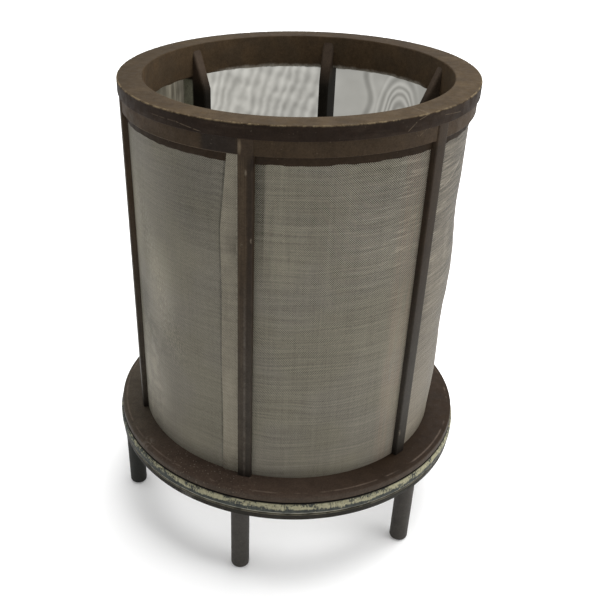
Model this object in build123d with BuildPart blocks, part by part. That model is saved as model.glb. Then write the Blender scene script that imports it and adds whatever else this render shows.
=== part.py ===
"""Suction strainer of a transmission: a moulded cage, a wire-cloth screen and a seal.

Millimetres, +Z up. The origin is on the strainer's axis, in the plane that its six
legs stand on. The rib that covers the joint of the cloth points along -Y.
"""
import os
from math import isclose

from build123d import *

os.makedirs("parts", exist_ok=True)

# Heights, stacked from the plane under the legs up to the collar's top face
LEG_LENGTH = 21.5
LIP_THICKNESS = 2.0
GROOVE_HEIGHT = 3.9
DISC_THICKNESS = 2.2
WINDOW_HEIGHT = 87.5
NECK_HEIGHT = 2.0
BAND_HEIGHT = 3.7
RIM_HEIGHT = 3.4

# Collar: a rim, a band set back a little under it, and a neck that closes on the cloth
COLLAR_DIAMETER = 90.0
COLLAR_WALL = 6.3
BAND_SETBACK = 0.5
NECK_COVER = 0.25
UNDERSIDE_RISE = 0.7
RIM_EDGE_CHAMFER = 0.3

# Flange, wider than the collar: a lip below the seal groove and a slightly smaller disc above it
FLANGE_OVERHANG = 6.0
DISC_SETBACK = 0.3
GROOVE_DEPTH = 4.0
DISC_EDGE_RADIUS = 0.8
LIP_EDGE_CHAMFER = 0.3

# Ribs, whose inner half narrows towards its tip and runs out into the bore's wall
RIB_COUNT = 6
RIB_WIDTH = 3.6
RIB_SETBACK = 0.25
RIB_EDGE_RADIUS = 0.35
RIB_ROOT_WIDTH = 3.8
RIB_TIP_WIDTH = 2.8
RIB_TIP_REACH = 4.4
RIB_TIP_EDGE_RADIUS = 0.5
RUNOUT_MARGIN = 1.7
RUNOUT_HEIGHT = 10.0

# Legs, one under each rib
LEG_DIAMETER = 5.1
LEG_EDGE_INSET = 0.45
LEG_TIP_RADIUS = 0.9

# Woven wire cloth, rolled into a tube inside the collar's wall and lapped at the rib along -Y
SCREEN_SETBACK = 1.7
CLOTH_THICKNESS = 0.3
SCREEN_EMBED = 3.0
LAP_REACH = 6.3
LAP_TOP_REACH = 4.3
LAP_TAPER_HEIGHT = 16.0

# Seal ring on the groove's floor and lip, with a crown worn flat
SEAL_PROUD = 0.3
SEAL_GAP = 0.3
SEAL_CORNER_RADIUS = 1.1
SEAL_BORE_CHAMFER = 0.6

# Levels worked out from the stack
lip_bottom = LEG_LENGTH
groove_bottom = lip_bottom + LIP_THICKNESS
groove_top = groove_bottom + GROOVE_HEIGHT
disc_top = groove_top + DISC_THICKNESS
neck_bottom = disc_top + WINDOW_HEIGHT
band_bottom = neck_bottom + NECK_HEIGHT
rim_bottom = band_bottom + BAND_HEIGHT
collar_top = rim_bottom + RIM_HEIGHT

# Radii
collar_radius = COLLAR_DIAMETER / 2
bore_radius = collar_radius - COLLAR_WALL
band_radius = collar_radius - BAND_SETBACK
rib_radius = collar_radius - RIB_SETBACK
rib_tip_radius = bore_radius - RIB_TIP_REACH
lip_radius = collar_radius + FLANGE_OVERHANG
disc_radius = lip_radius - DISC_SETBACK
groove_radius = lip_radius - GROOVE_DEPTH
leg_radius = LEG_DIAMETER / 2
leg_centre_radius = lip_radius - LEG_EDGE_INSET - leg_radius
screen_radius = collar_radius - SCREEN_SETBACK
screen_bore_radius = screen_radius - CLOTH_THICKNESS
cloth_middle_radius = screen_radius - CLOTH_THICKNESS / 2
lap_radius = screen_radius + CLOTH_THICKNESS
neck_radius = screen_radius + NECK_COVER
seal_radius = lip_radius + SEAL_PROUD

# The cloth runs into the moulding at both ends
screen_bottom = disc_top - SCREEN_EMBED
screen_top = neck_bottom + NECK_HEIGHT + SCREEN_EMBED
screen_length = screen_top - screen_bottom

rib_angles = PolarLocations(0, RIB_COUNT, start_angle=-90)

# Second layer of cloth at the joint. Its free edge draws in towards the rib near the top.
with BuildPart() as lap:
    with BuildSketch(Plane.XY.offset(screen_bottom)):
        Circle(lap_radius)
        Circle(screen_radius, mode=Mode.SUBTRACT)
    extrude(amount=screen_length)
    with BuildSketch(Plane.XZ):
        with BuildLine():
            Polyline(
                (0, screen_bottom),
                (0, screen_top),
                (-LAP_TOP_REACH, screen_top),
                (-LAP_REACH, neck_bottom - LAP_TAPER_HEIGHT),
                (-LAP_REACH, screen_bottom),
                close=True,
            )
        make_face()
    extrude(amount=lap_radius, mode=Mode.INTERSECT)

with BuildPart() as screen:
    with BuildSketch(Plane.XY.offset(screen_bottom)):
        Circle(screen_radius)
        Circle(screen_bore_radius, mode=Mode.SUBTRACT)
    extrude(amount=screen_length)
    add(lap.part)

# One rib, drawn along +X: its plan, cut to its outline from the side
with BuildPart() as rib:
    with BuildSketch(Plane.XY.offset(lip_bottom)):
        with BuildLine():
            Polyline(
                (rib_tip_radius, -RIB_TIP_WIDTH / 2),
                (cloth_middle_radius, -RIB_ROOT_WIDTH / 2),
                (cloth_middle_radius, -RIB_WIDTH / 2),
                (rib_radius, -RIB_WIDTH / 2),
                (rib_radius, RIB_WIDTH / 2),
                (cloth_middle_radius, RIB_WIDTH / 2),
                (cloth_middle_radius, RIB_ROOT_WIDTH / 2),
                (rib_tip_radius, RIB_TIP_WIDTH / 2),
                close=True,
            )
        rib_plan = make_face()
        fillet(rib_plan.vertices().group_by(Axis.X)[0], RIB_TIP_EDGE_RADIUS)
        fillet(rib_plan.vertices().group_by(Axis.X)[-1], RIB_EDGE_RADIUS)
    extrude(amount=collar_top - lip_bottom)
    with BuildSketch(Plane.XZ):
        with BuildLine():
            Polyline(
                (rib_radius, groove_top),
                (rib_radius, rim_bottom),
                (bore_radius, collar_top - RUNOUT_MARGIN),
                (rib_tip_radius, collar_top - RUNOUT_MARGIN - RUNOUT_HEIGHT),
                (rib_tip_radius, lip_bottom + RUNOUT_MARGIN + RUNOUT_HEIGHT),
                (bore_radius, lip_bottom + RUNOUT_MARGIN),
                close=True,
            )
        make_face()
    extrude(amount=RIB_ROOT_WIDTH, both=True, mode=Mode.INTERSECT)

with BuildPart() as leg:
    with BuildSketch():
        with Locations((leg_centre_radius, 0)):
            Circle(leg_radius)
    extrude(amount=groove_bottom)
    fillet(leg.edges().group_by(Axis.Z)[0], LEG_TIP_RADIUS)

with BuildPart() as cage:
    with BuildSketch(Plane.XZ):
        with BuildLine():
            Polyline(
                (bore_radius, neck_bottom + UNDERSIDE_RISE),
                (bore_radius, collar_top),
                (collar_radius, collar_top),
                (collar_radius, rim_bottom),
                (band_radius, rim_bottom),
                (band_radius, band_bottom),
                (neck_radius, band_bottom),
                (neck_radius, neck_bottom),
                (screen_bore_radius, neck_bottom),
                close=True,
            )
        make_face()
    revolve(axis=Axis.Z)
    with BuildSketch(Plane.XZ):
        with BuildLine():
            Polyline(
                (bore_radius, lip_bottom),
                (lip_radius, lip_bottom),
                (lip_radius, groove_bottom),
                (groove_radius, groove_bottom),
                (groove_radius, groove_top),
                (disc_radius, groove_top),
                (disc_radius, disc_top),
                (bore_radius, disc_top),
                close=True,
            )
        make_face()
    revolve(axis=Axis.Z)
    rings = cage.edges().filter_by(GeomType.CIRCLE)
    rim_edges = rings.group_by(Axis.Z)[-1]
    band_edge = rings.filter_by(lambda e: isclose(e.radius, band_radius)).sort_by(Axis.Z)[0]
    disc_edge = rings.filter_by(lambda e: isclose(e.radius, disc_radius)).sort_by(Axis.Z)[-1]
    lip_edges = rings.filter_by(lambda e: isclose(e.radius, lip_radius))
    chamfer(rim_edges, RIM_EDGE_CHAMFER)
    chamfer(band_edge, RIM_EDGE_CHAMFER)
    chamfer(lip_edges, LIP_EDGE_CHAMFER)
    fillet(disc_edge, DISC_EDGE_RADIUS)
    with rib_angles:
        add(rib.part)
        add(leg.part)
    add(screen.part, mode=Mode.SUBTRACT)

with BuildPart() as seal_ring:
    with BuildSketch(Plane.XZ):
        with BuildLine():
            Polyline(
                (groove_radius, groove_bottom),
                (seal_radius, groove_bottom),
                (seal_radius, groove_top - SEAL_GAP),
                (groove_radius, groove_top - SEAL_GAP),
                close=True,
            )
        seal_section = make_face()
        seal_corners = seal_section.vertices().group_by(Axis.X)
        chamfer(seal_corners[0], SEAL_BORE_CHAMFER)
        fillet(seal_corners[-1], SEAL_CORNER_RADIUS)
    revolve(axis=Axis.Z)

cage.part.label = "cage"
screen.part.label = "screen"
seal_ring.part.label = "seal_ring"

export_step(cage.part, "parts/cage.step")
export_step(screen.part, "parts/screen.step")
export_step(seal_ring.part, "parts/seal_ring.step")
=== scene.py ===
"""Looks of a transmission's suction strainer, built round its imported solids.

Sizes are in millimetres and turned into metres as the meshes are made. Azimuths are in
degrees, counted from -Y towards +X, so that 0 is the rib that covers the cloth's joint.
"""
import math

import bpy
from mathutils import Matrix, Vector, noise


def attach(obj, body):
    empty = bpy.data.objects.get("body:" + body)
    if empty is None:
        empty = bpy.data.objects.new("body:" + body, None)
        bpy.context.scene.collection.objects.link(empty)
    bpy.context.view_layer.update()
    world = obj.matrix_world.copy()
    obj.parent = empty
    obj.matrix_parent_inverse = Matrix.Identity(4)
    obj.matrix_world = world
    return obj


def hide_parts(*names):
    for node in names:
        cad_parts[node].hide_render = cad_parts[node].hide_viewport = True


MM = 0.001

# Heights, stacked from the plane that the legs stand on
LEG_LENGTH = 21.5
LIP_THICKNESS = 2.0
GROOVE_HEIGHT = 3.9
DISC_THICKNESS = 2.2
WINDOW_HEIGHT = 87.5
NECK_HEIGHT = 2.0
BAND_HEIGHT = 3.7
RIM_HEIGHT = 3.4

LIP_BOTTOM = LEG_LENGTH
GROOVE_BOTTOM = LIP_BOTTOM + LIP_THICKNESS
GROOVE_TOP = GROOVE_BOTTOM + GROOVE_HEIGHT
DISC_TOP = GROOVE_TOP + DISC_THICKNESS
NECK_BOTTOM = DISC_TOP + WINDOW_HEIGHT
BAND_BOTTOM = NECK_BOTTOM + NECK_HEIGHT
RIM_BOTTOM = BAND_BOTTOM + BAND_HEIGHT
COLLAR_TOP = RIM_BOTTOM + RIM_HEIGHT

# Radii, worked out from the collar's
COLLAR_RADIUS = 45.0
COLLAR_WALL = 6.3
BAND_SETBACK = 0.5
SCREEN_SETBACK = 1.7
CLOTH_THICKNESS = 0.3
NECK_COVER = 0.25
RIB_SETBACK = 0.25
RIB_TIP_REACH = 4.4
FLANGE_OVERHANG = 6.0
DISC_SETBACK = 0.3
GROOVE_DEPTH = 4.0
SEAL_PROUD = 0.3
LEG_EDGE_INSET = 0.45
LEG_RADIUS = 2.55

BORE_RADIUS = COLLAR_RADIUS - COLLAR_WALL
BAND_RADIUS = COLLAR_RADIUS - BAND_SETBACK
SCREEN_RADIUS = COLLAR_RADIUS - SCREEN_SETBACK
SCREEN_BORE_RADIUS = SCREEN_RADIUS - CLOTH_THICKNESS
CLOTH_MIDDLE_RADIUS = SCREEN_RADIUS - CLOTH_THICKNESS / 2
LAP_RADIUS = SCREEN_RADIUS + CLOTH_THICKNESS
NECK_RADIUS = SCREEN_RADIUS + NECK_COVER
RIB_RADIUS = COLLAR_RADIUS - RIB_SETBACK
RIB_TIP_RADIUS = BORE_RADIUS - RIB_TIP_REACH
LIP_RADIUS = COLLAR_RADIUS + FLANGE_OVERHANG
DISC_RADIUS = LIP_RADIUS - DISC_SETBACK
GROOVE_RADIUS = LIP_RADIUS - GROOVE_DEPTH
SEAL_RADIUS = LIP_RADIUS + SEAL_PROUD
LEG_CIRCLE = LIP_RADIUS - LEG_EDGE_INSET - LEG_RADIUS
MM_PER_DEGREE = COLLAR_RADIUS * math.pi / 180

# Azimuths of the ribs. The joint's rib is at 0
LEFT_RIB = -60
RIGHT_RIB = 60
BACK_RIGHT_RIB = 120
BACK_RIB = 180
BACK_LEFT_RIB = 240

# Ribs, which run out into the bore's wall at both ends
RIB_COUNT = 6
RIB_WIDTH = 3.6
RIB_ROOT_WIDTH = 3.8
RIB_TIP_WIDTH = 2.8
RUNOUT_MARGIN = 1.7
RUNOUT_HEIGHT = 10.0
RUNOUT_LOW = LIP_BOTTOM + RUNOUT_MARGIN
RUNOUT_TOP = COLLAR_TOP - RUNOUT_MARGIN

# Rounded edges
MOULD_EDGE = 0.3
LIP_EDGE = 0.35
DISC_EDGE = 0.8
RIB_EDGE = 0.4
RIB_TIP_EDGE = 0.8
LEG_TIP = 0.9
SEAL_EDGE = 1.1

# Wear of the collar: how far below its top edge it is nicked, and how far up its underside is ragged
NICKED_HEIGHT = 0.8
RAGGED_HEIGHT = 0.7

# Seal: its room in the groove, and how far it reaches into the groove's floor
SEAL_GAP = 0.3
SEAL_SEAT = 0.2

# Cloth, its ends held in the moulding, and how far its lap reaches left of the joint's rib
CLOTH_BOTTOM = DISC_TOP - 1.0
CLOTH_TOP = NECK_BOTTOM + 3.0
LAP_REACH = 6.3
LAP_TOP_REACH = 4.3
LAP_TOP = BAND_BOTTOM + 3.0
LAP_KNEE = NECK_BOTTOM - 16.0
WEAVE_REPEAT = 0.5

# Dent and bulge of the panel right of the right-hand rib: height above the floor, how far out
RIGHT_PANEL = 1
RIGHT_PANEL_BOW = [
    (29, 0), (46, 0.6), (52, 0.48), (59, 0.27), (65, 0.35), (72, 0.7), (77.5, 0.82), (82, 0.68), (87, 0.32),
    (91, -0.02), (96, -0.15), (104, 0.02), (117, 0),
]

# Faces round the circle and along the parts
COLLAR_AROUND = 720
FLANGE_AROUND = 512
SEAL_AROUND = 900
CLOTH_AROUND = 288
CLOTH_ROWS = 120
CLOTH_LEVELS = [CLOTH_BOTTOM + (CLOTH_TOP - CLOTH_BOTTOM) * k / CLOTH_ROWS for k in range(CLOTH_ROWS + 1)]
LAP_COLUMNS = 8
RIB_ROWS = 24
LEG_AROUND = 40

# Marks on the rim: two ends (azimuth, height), half width and strength
RIM_SCRATCHES = [
    ((45.4, 123.3), (48.5, 125.2), 0.16, 0.8),
    ((48.5, 125.2), (52.8, 126.2), 0.16, 0.8),
    ((49.0, 122.3), (50.0, 121.3), 0.14, 0.6),
    ((50.0, 121.3), (53.4, 123.0), 0.14, 0.6),
    ((59.3, 124.9), (67.4, 124.2), 0.14, 0.6),
    ((-32.0, 124.3), (-21.6, 124.2), 0.2, 0.35),
    ((-21.6, 124.2), (-13.1, 123.2), 0.18, 0.6),
]

# Single spots: azimuth, height, half width and half height
DISC_DUST = (-14, DISC_TOP, 26, 6)
DISC_SMUDGE = (-38, DISC_TOP, 4, 2)
LIP_DUST = (-17, LIP_BOTTOM + 1, 3.5, 1.2)
RIB_CORNER_SHADOW = (2.6, 118, 1.6, 2.6)
RIB_GLINT = (-1.7, 121, 0.9, 2.2)
RIB_MARKS = [(1.9, 99.6, 0.5, 0.9), (-1.0, 98.4, 0.5, 0.8), (0.2, 115.4, 0.5, 1.0), (58.3, 37.4, 0.6, 1.4)]
LAP_STAIN = (-4.5, 97.5, 4, 4)
CLOTH_GLINTS = (50, 104, 26, 34)

# Where the weave shows as dots: azimuth, height, half width, half height and strength
CLOTH_DOTS = [
    (44, 108, 34, 36, 1.0),
    (34, 78, 34, 26, 0.3),
]

# Painted light and shade on the cloth, where panels bulge, dent and fold and lie in a rib's shadow, in the same order
CLOTH_LIGHT_AND_SHADE = [
    (-37, 79, 13, 20, 0.42),
    (-46, 47, 18, 18, 0.42),
    (-53, 90, 8, 24, 0.3),
    (-51, 71, 8, 8, -0.2),
    (-17, 108, 20, 20, -0.22),
    (48, 112, 22, 18, -0.2),
    (54, 60, 9, 26, 0.25),
    (62.5, 106, 4, 26, -0.25),
    (77, 90, 4, 9, 0.22),
]

# Single wires across that catch the light or lie in shade: azimuth, height, half width and strength
WEFT_LINES = [
    (22, 107.3, 14, -0.2), (40, 106.8, 12, 0.2), (18, 101.0, 12, 0.2), (48, 112.0, 10, 0.18), (48, 109.0, 10, 0.16),
    (46, 104.5, 9, 0.16), (10, 112.4, 6, 0.2), (8, 97.0, 6, 0.22), (6, 108.3, 5, -0.16), (78, 107.2, 9, 0.35),
]
WEFT_SLOPE = 0.02

# Marks on the inside of the cloth: way along the bore's circle, and height
RINGS_CENTRE = (111.5, 104.5)
FOLD_ARC = 122.8

# Photograph's camera: where it stands, where it looks and its focal length in pixels
IMAGE_SIZE = 600
CAMERA_AZIMUTH = 13.232
CAMERA_DISTANCE = 209.88
CAMERA_HEIGHT = 178.54
CAMERA_YAW = 4.871
CAMERA_PITCH = 32.649
CAMERA_ROLL = 0.514
FOCAL_PX = 816.38
CENTRE_PX = (228.1, 345.0)
SENSOR = 36.0

# Stage, in metres and watts. Each lamp: name, place, size and power
FLOOR_REACH = 4.0
SKY_STRENGTH = 0.55
LAMP_TARGET = (0, 0, 0.07)
LAMPS = [
    ("overhead", (0.1, 0.3, 0.9), 0.9, 15),
    ("right", (0.8, -0.05, 0.45), 0.5, 2.0),
    ("left", (-0.8, 0.1, 0.4), 0.5, 0.6),
]


def linear(r, g, b):
    """A colour given as eight-bit display values, as the linear one that shaders take."""
    def one(v):
        v = v / 255
        return v / 12.92 if v <= 0.04045 else ((v + 0.055) / 1.055) ** 2.4
    return one(r), one(g), one(b), 1.0


def on_ring(radius, azimuth, height):
    """Point at a radius, an azimuth in radians and a height, in metres."""
    return Vector((radius * math.sin(azimuth), -radius * math.cos(azimuth), height)) * MM


def wobble(seed, *where):
    """Smooth noise from -1 to 1."""
    x, y, z = (tuple(where) + (0, 0, 0))[:3]
    return noise.noise(Vector((x + seed * 17.3, y - seed * 5.1, z + seed * 2.7)))


# Meshes

def mesh_object(name, points, faces, smooth_angle=35):
    mesh = bpy.data.meshes.new(name)
    mesh.from_pydata([tuple(p) for p in points], [], faces)
    mesh.validate()
    mesh.update()
    piece = bpy.data.objects.new(name, mesh)
    bpy.context.scene.collection.objects.link(piece)
    mesh.shade_smooth()
    bpy.context.view_layer.objects.active = piece
    piece.select_set(True)
    bpy.ops.object.shade_smooth_by_angle(angle=math.radians(smooth_angle))
    piece.select_set(False)
    return piece


def rounded(corners, steps=5):
    """A closed outline from corners (x, y, radius), each turned into an arc."""
    outline = []
    count = len(corners)
    for i, (x, y, radius) in enumerate(corners):
        here = Vector((x, y))
        if radius == 0:
            outline.append(here)
            continue
        before = (Vector(corners[i - 1][:2]) - here).normalized()
        after = (Vector(corners[(i + 1) % count][:2]) - here).normalized()
        half = before.angle(after) / 2
        centre = here + (before + after).normalized() * (radius / math.sin(half))
        start = (here + before * (radius / math.tan(half)) - centre).normalized()
        end = (here + after * (radius / math.tan(half)) - centre).normalized()
        for step in range(steps + 1):
            outline.append(centre + start.slerp(end, step / steps) * radius)
    return outline


def revolved(name, outline, around, shift=None):
    """A ring with the closed outline of (radius, height) points. shift moves each point of it."""
    points = []
    for i in range(around):
        azimuth = 2 * math.pi * i / around
        for radius, height in outline:
            if shift:
                radius, height = shift(azimuth, radius, height)
            points.append(on_ring(radius, azimuth, height))
    count = len(outline)
    faces = []
    for i in range(around):
        here, there = i * count, (i + 1) % around * count
        for j in range(count):
            j2 = (j + 1) % count
            faces.append((here + j, there + j, there + j2, here + j2))
    return mesh_object(name, points, faces)


def lofted(sections):
    """Points and faces of a closed solid through sections with the same number of points."""
    count = len(sections[0])
    points = [p for section in sections for p in section]
    faces = []
    for k in range(len(sections) - 1):
        for j in range(count):
            a = k * count + j
            b = k * count + (j + 1) % count
            faces.append((a, b, b + count, a + count))
    faces.append(tuple(reversed(range(count))))
    faces.append(tuple(range(len(points) - count, len(points))))
    return points, faces


def joined(name, solids, smooth_angle=35):
    """One piece from several solids, each given as its points and faces."""
    points, faces = [], []
    for solid_points, solid_faces in solids:
        base = len(points)
        points += solid_points
        faces += [tuple(i + base for i in face) for face in solid_faces]
    return mesh_object(name, points, faces, smooth_angle)


def thin_wall(name, outer, inner, closed):
    """A wall between two grids, given as columns of points. A closed one goes all the way round."""
    columns, rows = len(outer), len(outer[0])
    points = [p for column in outer + inner for p in column]
    back = columns * rows
    faces = []
    for i in range(columns if closed else columns - 1):
        here, there = i * rows, (i + 1) % columns * rows
        for a, b in zip(range(here, here + rows - 1), range(there, there + rows - 1)):
            faces.append((a, b, b + 1, a + 1))
            faces.append((back + a, back + a + 1, back + b + 1, back + b))
        top_here, top_there = here + rows - 1, there + rows - 1
        faces.append((there, here, back + here, back + there))
        faces.append((top_here, top_there, back + top_there, back + top_here))
    if not closed:
        last = (columns - 1) * rows
        faces += [(a, a + 1, back + a + 1, back + a) for a in range(rows - 1)]
        faces += [(back + a, back + a + 1, a + 1, a) for a in range(last, last + rows - 1)]
    return mesh_object(name, points, faces)


# Pieces

def make_collar():
    outline = rounded([
        (BORE_RADIUS, NECK_BOTTOM + RAGGED_HEIGHT, 0.2),
        (SCREEN_BORE_RADIUS, NECK_BOTTOM, 0),
        (NECK_RADIUS, NECK_BOTTOM, 0.1),
        (NECK_RADIUS, NECK_BOTTOM + RAGGED_HEIGHT, 0),
        (NECK_RADIUS, BAND_BOTTOM, 0.15),
        (BAND_RADIUS, BAND_BOTTOM, MOULD_EDGE),
        (BAND_RADIUS, RIM_BOTTOM, 0.1),
        (COLLAR_RADIUS, RIM_BOTTOM, 0.2),
        (COLLAR_RADIUS, COLLAR_TOP - NICKED_HEIGHT, 0),
        (COLLAR_RADIUS, COLLAR_TOP, MOULD_EDGE),
        (BORE_RADIUS, COLLAR_TOP, MOULD_EDGE),
    ])
    margin = 0.05

    def worn(azimuth, radius, height):
        """The rim's outer edge is nicked, and the edges of the underside are ragged."""
        if height > COLLAR_TOP - MOULD_EDGE - margin and radius > COLLAR_RADIUS - MOULD_EDGE - margin:
            nick = max(0.0, wobble(3, azimuth * 45, height) - 0.15) * 0.2
            return radius - nick, height - nick * 0.5
        if height < NECK_BOTTOM + RAGGED_HEIGHT + margin and radius < SCREEN_BORE_RADIUS:
            return radius, height - 0.2 + wobble(5, azimuth * 14) * 0.3
        if height < NECK_BOTTOM + 0.2:
            return radius, height + max(-0.1, wobble(6, azimuth * 20) * 0.3)
        return radius, height

    return revolved("collar", outline, COLLAR_AROUND, worn)


def make_flange():
    outline = rounded([
        (BORE_RADIUS, LIP_BOTTOM, MOULD_EDGE),
        (LIP_RADIUS, LIP_BOTTOM, LIP_EDGE),
        (LIP_RADIUS, GROOVE_BOTTOM, MOULD_EDGE),
        (GROOVE_RADIUS, GROOVE_BOTTOM, 0),
        (GROOVE_RADIUS, GROOVE_TOP, 0),
        (DISC_RADIUS, GROOVE_TOP, 0.15),
        (DISC_RADIUS, DISC_TOP, DISC_EDGE),
        (BORE_RADIUS, DISC_TOP, MOULD_EDGE),
    ])
    return revolved("flange", outline, FLANGE_AROUND)


def rib_section(tip, outer):
    """Plan of a rib along +X from its tip out to its face, as a rounded outline."""
    share = (tip - RIB_TIP_RADIUS) / (CLOTH_MIDDLE_RADIUS - RIB_TIP_RADIUS)
    half_tip = (RIB_TIP_WIDTH + (RIB_ROOT_WIDTH - RIB_TIP_WIDTH) * share) / 2
    half_root, half = RIB_ROOT_WIDTH / 2, RIB_WIDTH / 2
    return rounded([
        (tip, -half_tip, RIB_TIP_EDGE),
        (CLOTH_MIDDLE_RADIUS, -half_root, 0),
        (CLOTH_MIDDLE_RADIUS, -half, 0),
        (outer, -half, RIB_EDGE),
        (outer, half, RIB_EDGE),
        (CLOTH_MIDDLE_RADIUS, half, 0),
        (CLOTH_MIDDLE_RADIUS, half_root, 0),
        (tip, half_tip, RIB_TIP_EDGE),
    ])


def rib_tip(height):
    """Radius of the ribs' inner edge, which runs out into the bore's wall at both ends."""
    share = min(1.0, (height - RUNOUT_LOW) / RUNOUT_HEIGHT, (RUNOUT_TOP - height) / RUNOUT_HEIGHT)
    return BORE_RADIUS - RIB_TIP_REACH * share


def make_ribs():
    hidden = CLOTH_MIDDLE_RADIUS + 0.3
    low, top = RUNOUT_LOW + RUNOUT_HEIGHT, RUNOUT_TOP - RUNOUT_HEIGHT
    levels = [(RUNOUT_LOW, hidden), (GROOVE_TOP + 0.5, hidden), (GROOVE_TOP + 0.6, RIB_RADIUS)]
    levels += [(low + (top - low) * k / RIB_ROWS, RIB_RADIUS) for k in range(RIB_ROWS + 1)]
    levels += [(RIM_BOTTOM - 3, RIB_RADIUS), (RIM_BOTTOM, RIB_RADIUS)]
    levels += [(RIM_BOTTOM + 0.05, hidden), (RUNOUT_TOP, hidden)]
    solids = []
    for n in range(RIB_COUNT):
        turn = 2 * math.pi * n / RIB_COUNT
        sections = []
        for height, outer in levels:
            lean = wobble(11 + n, height * 0.03) * 0.06 if outer == RIB_RADIUS else 0
            sections.append([on_ring(math.hypot(x, y), turn + math.atan2(y + lean, x), height)
                             for x, y in rib_section(rib_tip(height), outer)])
        solids.append(lofted(sections))
    return joined("ribs", solids)


def make_legs():
    quarter = [math.pi / 2 * k / 6 for k in range(7)]
    levels = [(LEG_TIP - LEG_TIP * math.cos(a), LEG_RADIUS - LEG_TIP + LEG_TIP * math.sin(a)) for a in quarter]
    # The ring just above the tip keeps the straight part evenly shaded
    levels += [(LEG_TIP + 2.1, LEG_RADIUS), (LIP_BOTTOM + 0.6, LEG_RADIUS)]
    angles = [2 * math.pi * j / LEG_AROUND for j in range(LEG_AROUND)]
    solids = []
    for n in range(RIB_COUNT):
        centre = on_ring(LEG_CIRCLE, 2 * math.pi * n / RIB_COUNT, 0)
        solids.append(lofted([
            [centre + Vector((radius * math.cos(a), radius * math.sin(a), height)) * MM for a in angles]
            for height, radius in levels
        ]))
    return joined("legs", solids, 50)


def bow(azimuth, height):
    """How far a panel of cloth stands in or out between its ribs, in mm."""
    span = 2 * math.pi / RIB_COUNT
    along = (azimuth % span) / span
    up = (height - DISC_TOP) / (NECK_BOTTOM - DISC_TOP)
    if up <= 0 or up >= 1:
        return 0.0
    held = math.sin(math.pi * along) ** 0.7
    panel = math.floor((azimuth % (2 * math.pi)) / span)
    if panel == RIGHT_PANEL:
        for (z1, out1), (z2, out2) in zip(RIGHT_PANEL_BOW, RIGHT_PANEL_BOW[1:]):
            if z1 <= height <= z2:
                share = (1 - math.cos(math.pi * (height - z1) / (z2 - z1))) / 2
                return (out1 + (out2 - out1) * share) * held
    soft = wobble(20 + panel, azimuth * 1.4, height * 0.022)
    crease = wobble(30 + panel, azimuth * 4.2 + height * 0.05, height * 0.03)
    return held * math.sin(math.pi * up) ** 0.5 * (0.55 * soft + 0.13 * crease)


def cloth_layer(radius, columns):
    """One side of a cloth from columns of (azimuth, height), with the panels' bows."""
    return [[on_ring(radius + bow(azimuth, height), azimuth, height) for azimuth, height in column]
            for column in columns]


def make_screen():
    columns = [[(2 * math.pi * i / CLOTH_AROUND, height) for height in CLOTH_LEVELS] for i in range(CLOTH_AROUND)]
    piece = thin_wall("wire_cloth", cloth_layer(SCREEN_RADIUS, columns), cloth_layer(SCREEN_BORE_RADIUS, columns),
                      closed=True)
    for face in piece.data.polygons:
        outward = Vector((face.center.x, face.center.y, 0))
        face.material_index = 1 if face.normal.dot(outward) < 0 else 0
    return piece


def make_lap():
    """Second layer of cloth left of the joint's rib. Its free edge draws in towards the rib near the top."""
    def free_edge(height):
        drawn = max(0.0, (height - LAP_KNEE) / (LAP_TOP - LAP_KNEE))
        reach = LAP_REACH - (LAP_REACH - LAP_TOP_REACH) * drawn + wobble(41, height * 0.05) * 0.3
        return -reach / SCREEN_RADIUS

    columns = [[(free_edge(height) * (1 - i / LAP_COLUMNS), height) for height in CLOTH_LEVELS]
               for i in range(LAP_COLUMNS + 1)]
    return thin_wall("wire_cloth_lap", cloth_layer(LAP_RADIUS, columns), cloth_layer(SCREEN_RADIUS - 0.05, columns),
                     closed=False)


def make_seal():
    seat, top = GROOVE_RADIUS - SEAL_SEAT, GROOVE_TOP - SEAL_GAP
    outline = rounded([
        (seat, GROOVE_BOTTOM, 0),
        (SEAL_RADIUS, GROOVE_BOTTOM, SEAL_EDGE),
        (SEAL_RADIUS, top, SEAL_EDGE),
        (seat, top, 0),
    ], steps=8)

    def lumpy(azimuth, radius, height):
        if radius < GROOVE_RADIUS:
            return radius, height
        dent = 0.08 * max(0.0, wobble(50, azimuth * 60, height * 1.1))
        dent += 0.06 * max(0.0, wobble(51, azimuth * 9, height * 0.6))
        return radius - dent, height

    return revolved("seal", outline, SEAL_AROUND, lumpy)


# Materials

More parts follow.
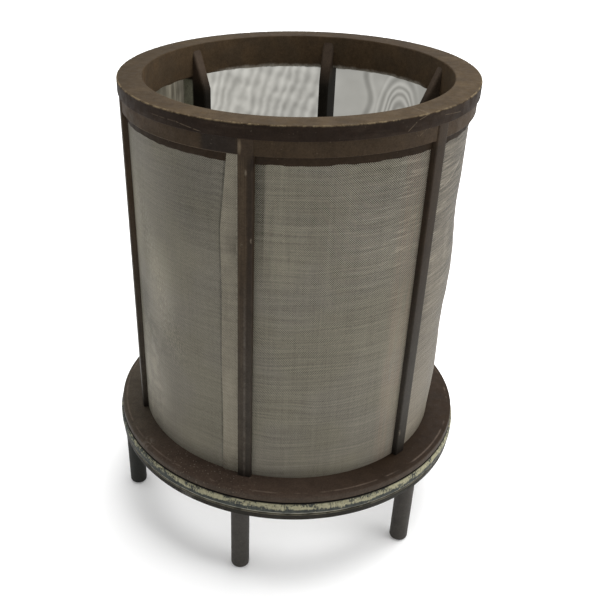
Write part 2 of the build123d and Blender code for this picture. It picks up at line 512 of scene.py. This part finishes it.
class Graph:
    """One material's node tree, built by short calls. Values may be numbers, colours or sockets."""

    def __init__(self, name):
        self.material = bpy.data.materials.new(name)
        self.material.use_nodes = True
        self.tree = self.material.node_tree
        self.shader = self.tree.nodes["Principled BSDF"]
        self.place = self.scaled(self.node("ShaderNodeTexCoord").outputs["Object"], 1 / MM)
        self.x, self.y, self.z = self.node("ShaderNodeSeparateXYZ", Vector=self.place).outputs
        self.azimuth = self.math("ARCTAN2", self.x, self.times(self.y, -1))
        self.degrees = self.times(self.azimuth, 180 / math.pi)
        self.off_front = self.math("ABSOLUTE", self.degrees)
        self.radius = self.distance(self.x, self.y)
        self.arc = self.times(self.azimuth, SCREEN_RADIUS)

    # Nodes and sums

    def node(self, kind, **inputs):
        made = self.tree.nodes.new(kind)
        for name, value in inputs.items():
            self.put(made.inputs[name.replace("_", " ")], value)
        return made

    def put(self, socket, value):
        if isinstance(value, bpy.types.NodeSocket):
            self.tree.links.new(value, socket)
        else:
            socket.default_value = value

    def math(self, operation, a, b=0.0):
        made = self.tree.nodes.new("ShaderNodeMath")
        made.operation = operation
        self.put(made.inputs[0], a)
        self.put(made.inputs[1], b)
        return made.outputs[0]

    def add(self, *values):
        total = values[0]
        for value in values[1:]:
            total = self.math("ADD", total, value)
        return total

    def minus(self, a, b):
        return self.math("SUBTRACT", a, b)

    def times(self, *values):
        total = values[0]
        for value in values[1:]:
            total = self.math("MULTIPLY", total, value)
        return total

    def distance(self, a, b):
        """How far a step of a one way and b across it leads."""
        return self.math("SQRT", self.add(self.times(a, a), self.times(b, b)))

    def wave(self, value, length):
        return self.math("SINE", self.times(value, 2 * math.pi / length))

    def scaled(self, vector, factor):
        """A colour or a place times a number."""
        if not isinstance(vector, bpy.types.NodeSocket):
            vector = vector[:3]
        made = self.node("ShaderNodeVectorMath")
        made.operation = "SCALE"
        self.put(made.inputs[0], vector)
        self.put(made.inputs["Scale"], factor)
        return made.outputs[0]

    # Shares from 0 to 1

    def ramp(self, value, low, high, first=0.0, last=1.0, kind="SMOOTHSTEP"):
        """value mapped from low..high to first..last, held outside."""
        made = self.tree.nodes.new("ShaderNodeMapRange")
        made.interpolation_type = kind
        for socket, v in zip(made.inputs, (value, low, high, first, last)):
            self.put(socket, v)
        return made.outputs[0]

    def band(self, value, low, high, soft):
        """1 between low and high, falling to 0 over soft on both sides."""
        return self.times(self.ramp(value, low - soft, low + soft), self.ramp(value, high - soft, high + soft, 1, 0))

    def spot(self, azimuth, height, wide, tall):
        """A soft patch round an azimuth in degrees and a height, 1 in its middle."""
        across = self.math("DIVIDE", self.minus(self.degrees, azimuth), wide)
        up = self.math("DIVIDE", self.minus(self.z, height), tall)
        return self.ramp(self.distance(across, up), 0.2, 1.0, 1, 0)

    def spots(self, places):
        """Sum of spots, each with its own strength as the last number."""
        return self.add(*(self.times(self.spot(*place), strength) for *place, strength in places))

    def scratch(self, first, last, width):
        """A thin line on a cylinder between two points (azimuth in degrees, height), 1 along its middle."""
        ax, ay = first[0] * MM_PER_DEGREE, first[1]
        bx, by = last[0] * MM_PER_DEGREE - ax, last[1] - ay
        length = math.hypot(bx, by)
        x = self.minus(self.times(self.degrees, MM_PER_DEGREE), ax)
        y = self.minus(self.z, ay)
        along = self.add(self.times(x, bx / length), self.times(y, by / length))
        aside = self.math("ABSOLUTE", self.add(self.times(x, -by / length), self.times(y, bx / length)))
        return self.times(self.ramp(aside, 0, width, 1, 0), self.band(along, 0, length, 0.3))

    # Noise

    def noise(self, scale, detail=2.0, where=None, roughness=0.5):
        made = self.node("ShaderNodeTexNoise", Vector=where or self.place, Scale=scale, Detail=detail,
                         Roughness=roughness)
        return made.outputs["Fac"]

    def grain(self, across, up, detail=2.0, tilt=0.0, roughness=0.5):
        """Noise that is drawn out along the circle or the axis, by its scale on each."""
        height = self.add(self.z, self.times(self.arc, tilt)) if tilt else self.z
        where = self.node("ShaderNodeCombineXYZ", X=self.times(self.x, across), Y=self.times(self.y, across),
                          Z=self.times(height, up))
        return self.noise(1.0, detail, where.outputs[0], roughness)

    def sway(self, value, amount):
        """A noise turned into an offset between -amount and amount."""
        return self.ramp(value, 0.25, 0.75, -amount, amount, "LINEAR")

    # Colours

    def blended(self, data_type, suffix, share, a, b):
        made = self.tree.nodes.new("ShaderNodeMix")
        made.data_type = data_type
        sockets = {socket.identifier: socket for socket in [*made.inputs, *made.outputs]}
        self.put(sockets["Factor_Float"], share)
        self.put(sockets["A_" + suffix], a)
        self.put(sockets["B_" + suffix], b)
        return sockets["Result_" + suffix]

    def mix(self, share, a, b):
        """Colour a where share is 0, and b where it is 1."""
        return self.blended("RGBA", "Color", share, a, b)

    def mix_value(self, share, a, b):
        return self.blended("FLOAT", "Float", share, a, b)

    def bump(self, height, distance):
        return self.node("ShaderNodeBump", Height=height, Distance=distance * MM, Strength=0.5).outputs["Normal"]

    def finish(self, colour, roughness, normal=None, specular=0.12):
        self.put(self.shader.inputs["Base Color"], colour)
        self.put(self.shader.inputs["Roughness"], roughness)
        if normal is not None:
            self.put(self.shader.inputs["Normal"], normal)
        self.shader.inputs["Specular IOR Level"].default_value = specular
        return self.material


def moulding_grain(g, colour, amount=0.2):
    """Fine light and dark grain of an old moulding, with a few pale specks of dust."""
    tone = g.add(1.0, g.sway(g.noise(2.6), amount), g.sway(g.noise(0.8, 3.0), amount * 0.5),
                 g.sway(g.noise(0.2, 3.0), amount * 0.7))
    specks = g.ramp(g.noise(1.7), 0.7, 0.78, 0, 0.25)
    return g.mix(specks, g.scaled(colour, tone), linear(110, 100, 86))


def moulding_bump(g):
    return g.bump(g.noise(2.6, 3.0), 0.03)


def collar_outside(g):
    """Neck, band and rim, all painted lighter away from the front as light on the sides, and the neck painted darker
    as shade under the band.
    """
    lit_sides = g.ramp(g.math("ABSOLUTE", g.minus(g.degrees, 8)), 20, 70)
    # Painted shade: the neck, darker under the band
    neck = linear(39, 30, 21)
    band = g.mix(lit_sides, linear(51, 41, 30), linear(64, 53, 42))
    # Painted shade: a stretch of the band left of the joint's rib, darker under the rim
    band = g.mix(g.band(g.degrees, -13.5, -2.2, 1.2), band, linear(36, 30, 25))
    rim = g.mix(lit_sides, linear(32, 24, 18), linear(42, 33, 26))
    rim = g.mix(g.ramp(g.grain(0.08, 0.5, 3.0), 0.45, 0.65, 0, 0.5), rim, linear(52, 43, 35))
    colour = g.mix(g.ramp(g.z, BAND_BOTTOM - 0.05, BAND_BOTTOM + 0.1), neck, band)
    # Painted highlight along the band's lower edge, left of the joint's rib
    band_edge_highlight = g.times(g.band(g.z, BAND_BOTTOM - 0.05, BAND_BOTTOM + 0.2, 0.1), g.ramp(g.degrees, 2, -10),
                         g.ramp(g.degrees, -80, -65))
    colour = g.mix(g.times(band_edge_highlight, 0.5), colour, linear(84, 72, 58))
    return g.mix(g.ramp(g.z, RIM_BOTTOM - 0.1, RIM_BOTTOM + 0.1), colour, rim)


def collar_inside(g):
    """The bore's wall, whose lower edge catches light at the back."""
    wall = g.mix(g.ramp(g.noise(0.15, 3.0), 0.4, 0.6), linear(74, 60, 44), linear(70, 58, 44))
    edge = g.add(NECK_BOTTOM + 0.9, g.sway(g.noise(0.5, 3.0), 0.3))
    lit = g.times(g.ramp(g.off_front, 128, 136), g.ramp(g.minus(g.z, edge), -0.9, 0.7, 1, 0))
    return g.mix(lit, wall, linear(176, 170, 158))


def collar_face(g):
    """The flat top, painted lighter than the outer faces as light from above and as wear and dust, darker at the back
    and greyer at the left.
    """
    face = g.mix(g.ramp(g.noise(0.1), 0.35, 0.65), linear(58, 47, 33), linear(65, 53, 37))
    face = g.mix(g.times(g.ramp(g.off_front, 110, 150), 0.6), face, linear(44, 35, 26))
    left = g.times(g.ramp(g.degrees, -25, -60), g.ramp(g.degrees, -140, -110))
    return g.mix(left, face, linear(53, 43, 30))


def collar_material():
    g = Graph("collar_plastic")
    within = g.ramp(g.radius, BORE_RADIUS + 0.2, BORE_RADIUS + 0.6, 1, 0)
    colour = g.mix(within, collar_outside(g), collar_inside(g))
    colour = g.mix(g.ramp(g.z, COLLAR_TOP - 0.25, COLLAR_TOP - 0.02), colour, collar_face(g))
    colour = moulding_grain(g, colour)
    # Pale outer edge of the top: chipped wear, and a painted highlight along the edge
    corner = g.times(g.ramp(g.z, COLLAR_TOP - 0.4, COLLAR_TOP - 0.1),
                     g.ramp(g.radius, COLLAR_RADIUS - 0.45, COLLAR_RADIUS - 0.2))
    chips_and_edge_highlight = g.ramp(g.grain(0.45, 0.4, 4.0, roughness=0.75), 0.42, 0.62)
    colour = g.mix(g.times(corner, chips_and_edge_highlight, 0.65), colour, linear(118, 104, 80))
    broken = g.ramp(g.noise(1.3), 0.35, 0.55)
    for first, last, width, strength in RIM_SCRATCHES:
        colour = g.mix(g.times(g.scratch(first, last, width), broken, strength), colour, linear(92, 80, 66))
    return g.finish(colour, g.ramp(g.noise(0.5, 3.0), 0.3, 0.7, 0.6, 0.75), moulding_bump(g), specular=0.06)


def flange_forms(g):
    """Lip, groove, the disc's edge and its top, with painted shade under the disc's edge and painted light and shade
    by azimuth on the top.
    """
    lip, groove, edge = linear(38, 36, 31), linear(20, 18, 16), linear(60, 51, 43)
    # Painted light and shade on the disc's top: darker at the right and the back, lighter at the left
    disc = g.mix(g.ramp(g.degrees, 15, 55), linear(61, 50, 42), linear(40, 30, 21))
    disc = g.mix(g.ramp(g.degrees, -20, -60), disc, linear(64, 57, 48))
    disc = g.mix(g.ramp(g.off_front, 100, 150), disc, linear(52, 42, 33))
    # Painted shade: the top of the groove, under the disc's edge, is nearly black
    colour = g.mix(g.ramp(g.z, GROOVE_TOP - 0.5, GROOVE_TOP), lip, groove)
    colour = g.mix(g.ramp(g.z, GROOVE_TOP - 0.05, GROOVE_TOP + 0.15), colour, edge)
    # Pale line along the lip's top edge: wear, and a painted highlight on the rounded edge
    lip_edge = g.times(g.band(g.z, GROOVE_BOTTOM - 0.3, GROOVE_BOTTOM + 0.1, 0.1),
                       g.ramp(g.radius, LIP_RADIUS - 0.6, LIP_RADIUS - 0.3))
    lip_wear_and_highlight = g.ramp(g.grain(0.3, 0.1, 3.0), 0.35, 0.6, 0.25, 0.9)
    colour = g.mix(g.times(lip_edge, lip_wear_and_highlight), colour, linear(104, 100, 86))
    return g.mix(g.ramp(g.z, DISC_TOP - 0.6, DISC_TOP - 0.1), colour, disc)


def flange_material():
    g = Graph("flange_plastic")
    colour = flange_forms(g)
    # Painted highlight: a ring near the disc's rounded outer edge, broken up by noise
    top_edge_highlight = g.times(g.band(g.radius, 49.2, 49.6, 0.2), g.ramp(g.z, DISC_TOP - 0.3, DISC_TOP - 0.1))
    colour = g.mix(g.times(top_edge_highlight, g.ramp(g.noise(0.15, 3.0), 0.42, 0.6, 0, 0.7)), colour, linear(92, 80, 70))
    dust = g.times(g.ramp(g.noise(1.9, 1.0), 0.66, 0.72), g.spot(*DISC_DUST))
    colour = g.mix(g.times(dust, 0.4), colour, linear(140, 130, 116))
    smudge = g.times(g.spot(*DISC_SMUDGE), g.ramp(g.radius, 46.5, 49), g.ramp(g.noise(1.2, 3.0), 0.4, 0.6))
    colour = g.mix(g.times(smudge, 0.5), colour, linear(96, 88, 78))
    lip_dust = g.times(g.spot(*LIP_DUST), g.ramp(g.noise(1.5), 0.4, 0.6, 0.2, 0.6))
    colour = g.mix(lip_dust, colour, linear(90, 88, 82))
    colour = moulding_grain(g, colour)
    return g.finish(colour, g.ramp(g.noise(0.5, 3.0), 0.3, 0.7, 0.5, 0.65), moulding_bump(g), specular=0.07)


def rib_outside(g):
    """The ribs' faces outside the cloth: streaks, painted shade on the right-hand rib and low down, a painted
    highlight streak, shades and marks.
    """
    face = g.ramp(g.radius, SCREEN_RADIUS, RIB_RADIUS)
    colour = g.mix(g.ramp(g.grain(2.4, 0.05, 3.0), 0.4, 0.7, 0, 0.7), linear(50, 40, 29), linear(64, 53, 40))
    shade = g.times(g.band(g.degrees, 0.6, 2.6, 0.4), face)
    colour = g.mix(g.times(shade, 0.7), colour, linear(32, 25, 19))
    # Painted shade: the right-hand rib, darker than the others
    right = g.band(g.degrees, RIGHT_RIB - 10, RIGHT_RIB + 10, 1)
    right_rib_shade = g.mix(g.ramp(g.z, 50, 110), linear(29, 25, 20), linear(39, 31, 23))
    colour = g.mix(g.times(right, 0.75), colour, right_rib_shade)
    colour = g.mix(g.times(g.ramp(g.z, 100, 50), 0.5), colour, linear(58, 55, 50))
    # Painted shade: darker low down, towards the flange
    colour = g.mix(g.times(g.ramp(g.z, 42, 32), 0.5), colour, linear(34, 31, 27))
    # Painted highlight: a faint light streak down the middle of the joint's rib
    worn = g.times(g.band(g.degrees, -0.3, 0.4, 0.3), g.ramp(g.z, 96, 70), face)
    colour = g.mix(g.times(worn, g.ramp(g.noise(0.3, 3.0), 0.35, 0.6, 0.2, 0.6)), colour, linear(78, 72, 66))
    # Painted shade: nearly black at the ribs' roots on the disc
    colour = g.mix(g.ramp(g.z, DISC_TOP + 3.5, DISC_TOP + 0.5, 0, 0.6), colour, linear(22, 17, 14))
    colour = g.mix(g.ramp(g.z, BAND_BOTTOM - 1.5, BAND_BOTTOM + 0.3), colour, linear(49, 39, 29))
    # Painted shadow in the corner right of the joint's rib, under the band
    colour = g.mix(g.times(g.spot(*RIB_CORNER_SHADOW), face, 0.6), colour, linear(24, 18, 14))
    colour = g.mix(g.times(g.spot(*RIB_GLINT), face, 0.7), colour, linear(98, 86, 70))
    crumbled = g.ramp(g.noise(2.2), 0.4, 0.6, 0, 0.55)
    for mark in RIB_MARKS:
        colour = g.mix(g.times(g.spot(*mark), crumbled), colour, linear(112, 102, 88))
    return colour


def rib_material():
    g = Graph("rib_plastic")
    within = g.ramp(g.radius, SCREEN_RADIUS, SCREEN_BORE_RADIUS)
    # Painted shade: the ribs' inner faces, dark below the top
    inside = g.mix(g.ramp(g.z, 119.5, 112.5), linear(66, 55, 45), linear(28, 25, 20))
    colour = g.mix(within, rib_outside(g), inside)
    # Light from the cloth on the side of the left-hand inner rib
    back_left = BACK_LEFT_RIB - 360
    beside_cloth = g.times(within, g.ramp(g.radius, BORE_RADIUS, BORE_RADIUS + 0.8), g.ramp(g.z, 117, 116),
                           g.band(g.degrees, back_left - 10, back_left + 10, 1))
    colour = moulding_grain(g, g.mix(beside_cloth, colour, linear(160, 162, 146)))
    return g.finish(colour, 0.55, moulding_bump(g), specular=0.08)


def leg_material():
    g = Graph("leg_plastic")
    # Painted shade: the legs at the left are darker
    from_left = g.math("ABSOLUTE", g.minus(g.degrees, LEFT_RIB))
    colour = g.mix(g.ramp(from_left, 20, 50), linear(40, 40, 37), linear(60, 57, 53))
    return g.finish(moulding_grain(g, colour, 0.15), 0.6, g.bump(g.noise(3.0, 4.0), 0.04))


def weave(g):
    """Over and under of the wires, from -1 to 1."""
    turns = round(2 * math.pi * SCREEN_RADIUS / WEAVE_REPEAT)
    return g.times(g.math("SINE", g.times(g.azimuth, turns)), g.wave(g.z, WEAVE_REPEAT))


def wire_tone(g, level, lines, dots):
    """Uneven light on the wires: the weave, single bright and dark wires, bands of them and broad patches."""
    height = g.add(g.z, g.sway(g.noise(0.05, 1.0), 0.8))

    def weft(across, up, detail):
        where = g.node("ShaderNodeCombineXYZ", X=g.times(g.arc, across), Y=g.times(height, up))
        return g.noise(1.0, detail, where.outputs[0])

    drawn = g.add(g.sway(weft(0.05, 2.0, 1.0), 0.18), g.sway(weft(0.03, 0.6, 2.0), 0.05),
                  g.sway(g.grain(1.9, 0.045, 1.0), 0.07), g.sway(g.grain(0.35, 0.02), 0.05))
    crumbs = g.sway(g.noise(2.6), 0.14)
    patches = g.sway(g.noise(0.07, 3.0), 0.06)
    return g.add(level, g.times(drawn, lines), crumbs, patches, g.times(weave(g), dots))


def beside_lap(g):
    """The lap's edge casts a thin shadow on the layer under it, with pulled threads beside it near the top."""
    drawn = g.ramp(g.z, LAP_KNEE, LAP_TOP, 0, LAP_REACH - LAP_TOP_REACH, "LINEAR")
    aside = g.add(g.arc, LAP_REACH, g.times(drawn, -1))
    shadow = g.times(g.band(aside, -0.55, 0.1, 0.2), g.ramp(g.noise(0.3), 0.3, 0.6, 0.4, 1.0))
    pulled = g.wave(g.add(g.z, g.times(aside, aside, 0.12), g.times(aside, 0.6)), 1.7)
    beside = g.times(g.band(aside, -2.8, -0.4, 0.6), g.band(g.z, 105, 116.5, 1.5))
    return g.add(g.times(shadow, -0.3), g.times(pulled, beside, 0.07))


def left_panel(g):
    """A rough ridge that leans right, and mottles low down."""
    ridge = g.add(g.degrees, 45, g.times(g.add(g.z, -95), 0.5))
    rough = g.ramp(g.grain(2.6, 0.9, 3.0, tilt=0.6, roughness=0.7), 0.42, 0.66, -0.1, 0.36)
    mottled = g.ramp(g.noise(0.35, 3.0), 0.4, 0.62, -0.12, 0.16)
    return g.add(g.times(rough, g.band(ridge, -6, 5, 4), g.band(g.z, 58, 104, 6)),
                 g.times(mottled, g.band(g.degrees, LEFT_RIB - 2, LEFT_RIB + 22, 4), g.ramp(g.z, 72, 62)))


def front_panel(g):
    """Shade right of the joint's rib, sharp at its right side, a pale film next to it, and single wires."""
    shade = g.times(g.band(g.arc, 0, 4.0, 0.25), g.ramp(g.z, 84, 108))
    film = g.ramp(g.grain(0.45, 0.04), 0.45, 0.7, 0, 0.2)
    tone = g.add(g.times(shade, -0.42), g.times(film, g.band(g.degrees, 6, 15, 2), g.ramp(g.z, 80, 98)))
    for azimuth, height, wide, strength in WEFT_LINES:
        level = g.add(g.z, g.times(g.degrees, WEFT_SLOPE), -height - azimuth * WEFT_SLOPE)
        line = g.times(g.band(level, -0.12, 0.12, 0.12), g.spot(azimuth, height, wide, 3))
        tone = g.add(tone, g.times(line, strength))
    return tone


def right_panel(g, right):
    """Fine lines that climb to the right on the panel at the right-hand side, and a crease across it with a painted
    highlight along it and painted shade below it.
    """
    climbing = g.times(g.sway(g.grain(0.07, 1.4, tilt=-0.04), 0.32), g.ramp(g.z, 44, 84, 0.2, 1.0))
    reach = g.minus(g.degrees, RIGHT_RIB + 5)
    crease = g.minus(g.z, g.add(106, g.times(reach, reach, 0.02)))
    return g.times(right, g.add(climbing, g.times(g.band(crease, -0.14, 0.14, 0.12), 0.9),
                                g.times(g.band(crease, -1.6, -0.3, 0.4), -0.12)))


def cloth_outside():
    g = Graph("cloth_outside")
    right = g.times(g.ramp(g.degrees, RIGHT_RIB + 1, RIGHT_RIB + 4),
                    g.ramp(g.degrees, BACK_RIGHT_RIB - 3, BACK_RIGHT_RIB, 1, 0))
    # Painted light and shade: the right-hand panel lighter low down and darker high up and at its far edge, and all
    # the cloth lighter just above the flange
    right_level = g.times(g.ramp(g.z, 40, 104, 1.22, 0.8, "LINEAR"), g.ramp(g.degrees, 70, 82, 1.0, 0.82))
    level = g.add(g.mix_value(right, 1.0, right_level), g.ramp(g.z, 42, 32, 0, 0.22))
    dots = g.add(g.ramp(g.degrees, -5, 5, 0.4, 0.65), g.spots(CLOTH_DOTS))
    dots = g.times(dots, g.ramp(g.z, 40, 60, 0.7, 1.0))
    # Short bright stretches of single wires
    glints = g.ramp(g.grain(0.16, 2.4, tilt=-0.03), 0.56, 0.68)
    caught = g.add(g.times(g.spot(*CLOTH_GLINTS), 0.45), g.times(right, g.ramp(g.z, 60, 96, 0.05, 0.35)), 0.03)
    tone = g.add(wire_tone(g, level, g.ramp(g.degrees, -5, 5, 0.55, 1.0), dots), g.spots(CLOTH_LIGHT_AND_SHADE),
                 beside_lap(g), left_panel(g), front_panel(g), g.times(glints, caught), right_panel(g, right))
    colour = g.mix(g.ramp(g.noise(0.05), 0.4, 0.6), linear(102, 98, 86), linear(102, 98, 88))
    colour = g.scaled(g.mix(right, colour, linear(105, 99, 88)), tone)
    brown = g.times(g.band(g.degrees, RIGHT_RIB - 12, RIGHT_RIB - 2.5, 1.5), g.ramp(g.grain(1.5, 0.1), 0.3, 0.6), 0.3)
    colour = g.mix(brown, colour, g.scaled(linear(114, 98, 85), tone))
    return g.finish(colour, 0.6, g.bump(weave(g), 0.05), specular=0.1)


def cloth_lap():
    g = Graph("cloth_lap")
    tone = g.add(wire_tone(g, g.ramp(g.z, 66, 56, 1.2, 1.4), 0.7, 0.55), g.sway(g.noise(0.3, 3.0), 0.14),
                 g.times(g.spot(*LAP_STAIN), -0.3), g.ramp(g.z, 38, 32, 0, -0.25))
    colour = g.scaled(linear(104, 99, 87), tone)
    # A dotted pale wire, and painted shade in the gap next to the rib
    dotted = g.ramp(g.grain(0.1, 1.8, 1.0), 0.4, 0.6, 0, 0.5)
    colour = g.mix(g.times(g.band(g.arc, -2.35, -2.1, 0.1), dotted), colour, linear(150, 144, 128))
    colour = g.mix(g.ramp(g.arc, -2.1, -1.9, 0, 0.7), colour, linear(40, 34, 28))
    return g.finish(colour, 0.6, g.bump(weave(g), 0.05), specular=0.1)


def crossed_bands(g, arc, drift):
    """Soft slanted and level bands, as where two layers of wires beat against each other."""
    slanted = g.wave(g.add(arc, g.times(g.z, 0.36), drift), 3.1)
    level = g.wave(g.add(g.z, g.times(arc, -0.25), g.times(drift, 0.8)), 4.6)
    return g.add(g.times(slanted, 0.15), g.times(level, g.ramp(g.noise(0.15, 1.0), 0.4, 0.6), 0.1),
                 g.sway(g.noise(0.2), 0.15), g.ramp(g.add(g.z, g.times(arc, 0.5)), 175, 200, -0.05, 0.12))


def rings_and_fold(g, arc, drift):
    """Rings of the same kind, and a dark fold beside them in the upper part."""
    across = g.minus(arc, RINGS_CENTRE[0])
    up = g.times(g.minus(g.z, RINGS_CENTRE[1]), 0.6)
    away = g.add(g.distance(across, up), g.times(drift, 0.25))
    uneven = g.times(g.math("SINE", g.times(away, 1.3)), 1.4)
    rings = g.math("SINE", g.add(g.times(away, 2 * math.pi / 1.5), uneven))
    rings = g.times(rings, g.band(away, 0.8, 8.4, 0.8), g.ramp(across, -7, -2, 0.3, 1), 0.22)
    fold_at = g.add(arc, g.math("SINE", g.times(g.z, 0.42)), -FOLD_ARC)
    fold = g.add(g.times(g.band(fold_at, -0.9, 0.8, 0.7), -0.32), g.times(g.band(fold_at, -2.2, -1.0, 0.6), 0.1))
    return g.add(rings, g.times(fold, g.ramp(g.z, 88, 98)), -0.12)


def cloth_inside():
    """The cloth seen from within, lit through from behind, where the wires beat into soft bands."""
    g = Graph("cloth_inside")
    turned = g.math("MODULO", g.add(g.degrees, 360), 360)
    arc = g.times(turned, SCREEN_BORE_RADIUS * math.pi / 180)
    drift = g.sway(g.noise(0.09, 3.0), 1.8)
    left_of_back = g.ramp(turned, BACK_RIB - 2, BACK_RIB + 2)
    pattern = g.mix_value(left_of_back, rings_and_fold(g, arc, drift), crossed_bands(g, arc, drift))
    tone = g.add(1.0, pattern, g.sway(g.noise(0.12), 0.12))
    # Bright at the back, half lit at the right, and dark past the left-hand inner rib apart from a streaky strip
    past_back_left = g.ramp(turned, BACK_LEFT_RIB - 11, BACK_LEFT_RIB - 6)
    side = g.mix_value(past_back_left, 0.95, 0.17)
    streaks = g.ramp(g.grain(0.9, 0.05), 0.35, 0.6)
    side = g.add(side, g.times(g.band(turned, BACK_LEFT_RIB + 3, BACK_LEFT_RIB + 12, 2), streaks, 0.2))
    side = g.times(side, g.ramp(turned, BACK_RIGHT_RIB - 2, BACK_RIGHT_RIB + 30, 0.5, 1.0))
    # Dark at the top, where the collar's flash hangs down unevenly
    flash = g.add(NECK_BOTTOM - 0.5, g.sway(g.noise(0.5), 0.35))
    side = g.times(side, g.ramp(g.minus(g.z, flash), -0.35, 0.25, 1, 0.15))
    light = g.mix(past_back_left, linear(191, 190, 184), linear(194, 187, 168))
    # Painted light: the cloth's inside glows as if lit through from behind
    g.put(g.shader.inputs["Emission Color"], g.scaled(light, g.times(tone, side)))
    g.shader.inputs["Emission Strength"].default_value = 0.8
    return g.finish(linear(76, 70, 56), 0.6)


def seal_material():
    g = Graph("seal_rubber")
    streak = g.grain(2.8, 0.8, 3.0, roughness=0.65)
    patch = g.grain(0.28, 0.8, 4.0, roughness=0.65)
    # The deposit covers more at the front and right, and little of the lower part
    coverage = g.add(0.4, g.times(g.ramp(g.degrees, -26, -12), g.ramp(g.degrees, 130, 172, 1, 0), 0.26),
                     g.times(g.band(g.degrees, -4.5, 1.5, 1), -0.2), g.ramp(g.z, 24.9, 25.9, -0.5, 0))
    share = g.add(coverage, g.sway(patch, 0.48), g.sway(streak, 0.4))
    rubber = g.mix(g.ramp(g.noise(0.9, 3.0), 0.3, 0.7), linear(46, 49, 47), linear(64, 67, 63))
    deposit = g.mix(g.ramp(g.noise(1.5, 3.0), 0.3, 0.7), linear(150, 147, 122), linear(132, 128, 104))
    colour = g.mix(g.ramp(share, 0.36, 0.68), rubber, deposit)
    pale = g.times(g.band(g.z, 24.0, 24.3, 0.12), g.ramp(g.grain(0.3, 0.1, 3.0), 0.35, 0.55, 0.3, 1))
    colour = g.mix(g.times(pale, 0.8), colour, linear(170, 166, 148))
    # Painted shade: a dark line at the seal's underside, against the lip
    colour = g.mix(g.ramp(g.z, 23.9, 23.75), colour, linear(18, 17, 15))
    # Painted shadow: a dark line at the seal's top, under the disc's edge
    colour = g.mix(g.ramp(g.z, 26.8, 27.0), colour, linear(24, 22, 19))
    return g.finish(colour, 0.7, g.bump(g.add(streak, patch), 0.1))


def floor_material():
    g = Graph("floor_paper")
    g.shader.inputs["Emission Color"].default_value = (1, 1, 1, 1)
    g.shader.inputs["Emission Strength"].default_value = 0.08
    return g.finish(linear(250, 250, 250), 0.9, specular=0.05)


# Stage

def make_floor():
    corners = [(-1, -1), (1, -1), (1, 1), (-1, 1)]
    floor = mesh_object("floor", [(x * FLOOR_REACH, y * FLOOR_REACH, 0) for x, y in corners], [(0, 1, 2, 3)])
    floor.data.materials.append(floor_material())


def make_lamps():
    for name, place, size, power in LAMPS:
        lamp = bpy.data.lights.new(name, "AREA")
        lamp.size = size
        lamp.energy = power
        light = bpy.data.objects.new(name, lamp)
        light.location = place
        light.rotation_euler = (Vector(LAMP_TARGET) - Vector(place)).to_track_quat("-Z", "Y").to_euler()
        bpy.context.scene.collection.objects.link(light)


def make_world():
    world = bpy.data.worlds.new("studio")
    world.use_nodes = True
    background = world.node_tree.nodes["Background"]
    background.inputs["Color"].default_value = (1, 1, 1, 1)
    background.inputs["Strength"].default_value = SKY_STRENGTH
    bpy.context.scene.world = world


def make_camera():
    turned = (
        Matrix.Rotation(math.radians(CAMERA_AZIMUTH + CAMERA_YAW), 4, "Z")
        @ Matrix.Rotation(math.radians(90 - CAMERA_PITCH), 4, "X")
        @ Matrix.Rotation(math.radians(-CAMERA_ROLL), 4, "Z")
    )
    place = on_ring(CAMERA_DISTANCE, math.radians(CAMERA_AZIMUTH), CAMERA_HEIGHT)
    lens = bpy.data.cameras.new("camera")
    lens.sensor_width = SENSOR
    lens.lens = FOCAL_PX * SENSOR / IMAGE_SIZE
    lens.shift_x = (IMAGE_SIZE / 2 - CENTRE_PX[0]) / IMAGE_SIZE
    lens.shift_y = (CENTRE_PX[1] - IMAGE_SIZE / 2) / IMAGE_SIZE
    lens.clip_start = 0.01
    camera = bpy.data.objects.new("camera", lens)
    camera.matrix_world = Matrix.Translation(place) @ turned
    bpy.context.scene.collection.objects.link(camera)
    bpy.context.scene.camera = camera


def dress(piece, slot, node, *materials):
    """Gives a piece its materials and its body, and hides the solid that it stands for. Its slot is not used."""
    for material in materials:
        piece.data.materials.append(material)
    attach(piece, "root")
    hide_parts(node)


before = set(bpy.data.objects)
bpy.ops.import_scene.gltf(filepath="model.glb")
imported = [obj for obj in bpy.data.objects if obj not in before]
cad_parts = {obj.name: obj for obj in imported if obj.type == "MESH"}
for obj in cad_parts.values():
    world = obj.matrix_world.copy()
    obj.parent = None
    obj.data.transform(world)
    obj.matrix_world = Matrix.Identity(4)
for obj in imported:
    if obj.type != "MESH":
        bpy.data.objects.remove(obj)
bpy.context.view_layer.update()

dress(make_collar(), "cage", "cage", collar_material())
dress(make_flange(), "cage", "cage", flange_material())
dress(make_ribs(), "cage", "cage", rib_material())
dress(make_legs(), "cage", "cage", leg_material())
dress(make_screen(), "screen", "screen", cloth_outside(), cloth_inside())
dress(make_lap(), "screen", "screen", cloth_lap())
dress(make_seal(), "seal_ring", "seal_ring", seal_material())

make_floor()
make_world()
make_lamps()
make_camera()
bpy.context.scene.view_settings.view_transform = "Standard"
